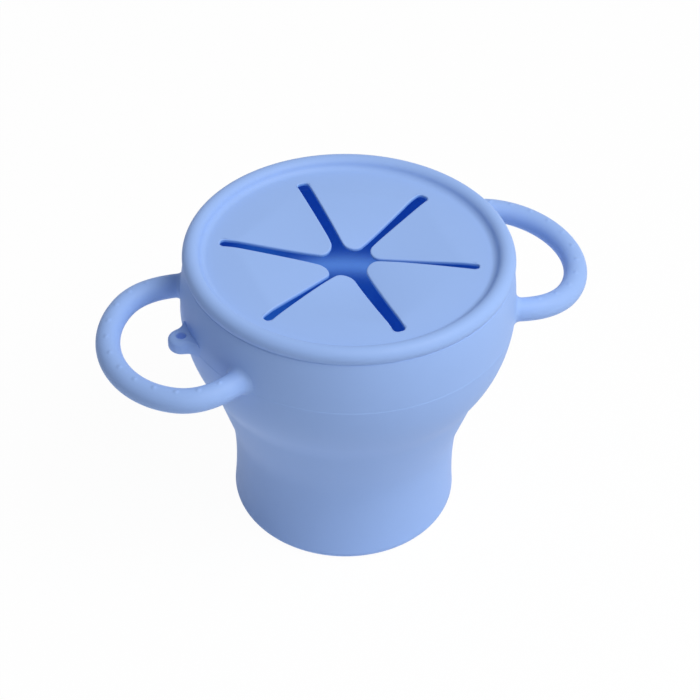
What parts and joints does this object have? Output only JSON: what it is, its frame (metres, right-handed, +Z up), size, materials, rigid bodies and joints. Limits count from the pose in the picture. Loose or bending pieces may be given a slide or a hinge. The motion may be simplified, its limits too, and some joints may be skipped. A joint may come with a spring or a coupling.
{
  "type": "toddler snack container",
  "caption": "Collapsible silicone snack cup with two loop handles, a small lanyard lug and a soft lid cut into petals that bend to let a hand in.",
  "frame": {"origin": "centre of the base's underside, on the surface that the cup stands on", "axes": "+Z up along the cup's axis; +X along the two handles, with the lanyard lug on the -X side; -Y is the front"},
  "size_m": [0.1426, 0.0924, 0.0891],
  "materials": {
    "cup_silicone": "matte, soft silicone",
    "lid_silicone": "matte, soft silicone"
  },
  "bodies": {
    "base": {"base_cup": "cup_silicone"},
    "bowl": {"fold_web": "cup_silicone", "upper_bowl": "cup_silicone", "handle_left": "cup_silicone", "handle_right": "cup_silicone", "lanyard_lug": "cup_silicone"},
    "lid": {"lid_ring": "lid_silicone"},
    "petal_1": {"petal_1": "lid_silicone"},
    "petal_2": {"petal_2": "lid_silicone"},
    "petal_3": {"petal_3": "lid_silicone"},
    "petal_4": {"petal_4": "lid_silicone"},
    "petal_5": {"petal_5": "lid_silicone"},
    "petal_6": {"petal_6": "lid_silicone"}
  },
  "joints": [
    {"name": "collapse", "type": "slide", "parent": "base", "child": "bowl", "axis": [0, 0, -1], "range_m": [0, 0.038], "deforming": ["fold_web"]},
    {"name": "lid_lift", "type": "slide", "parent": "bowl", "child": "lid", "axis": [0, 0, 1], "range_m": [0, 0.03]},
    {"name": "petal_1_bend", "type": "hinge", "parent": "lid", "child": "petal_1", "pos_m": [0.02878, -0.001, 0.08575], "axis": [-0.0349, -0.9994, 0], "range_deg": [-60, 70], "stiffness_Nm_per_rad": 0.003},
    {"name": "petal_2_bend", "type": "hinge", "parent": "lid", "child": "petal_2", "pos_m": [0.01526, 0.02442, 0.08575], "axis": [0.848, -0.5299, 0], "range_deg": [-60, 70], "stiffness_Nm_per_rad": 0.003},
    {"name": "petal_3_bend", "type": "hinge", "parent": "lid", "child": "petal_3", "pos_m": [-0.01352, 0.02542, 0.08575], "axis": [0.8829, 0.4695, 0], "range_deg": [-60, 70], "stiffness_Nm_per_rad": 0.003},
    {"name": "petal_4_bend", "type": "hinge", "parent": "lid", "child": "petal_4", "pos_m": [-0.02878, 0.001, 0.08575], "axis": [0.0349, 0.9994, 0], "range_deg": [-60, 70], "stiffness_Nm_per_rad": 0.003},
    {"name": "petal_5_bend", "type": "hinge", "parent": "lid", "child": "petal_5", "pos_m": [-0.01526, -0.02442, 0.08575], "axis": [-0.848, 0.5299, 0], "range_deg": [-60, 70], "stiffness_Nm_per_rad": 0.003},
    {"name": "petal_6_bend", "type": "hinge", "parent": "lid", "child": "petal_6", "pos_m": [0.01352, -0.02542, 0.08575], "axis": [-0.8829, -0.4695, 0], "range_deg": [-60, 70], "stiffness_Nm_per_rad": 0.003}
  ]
}
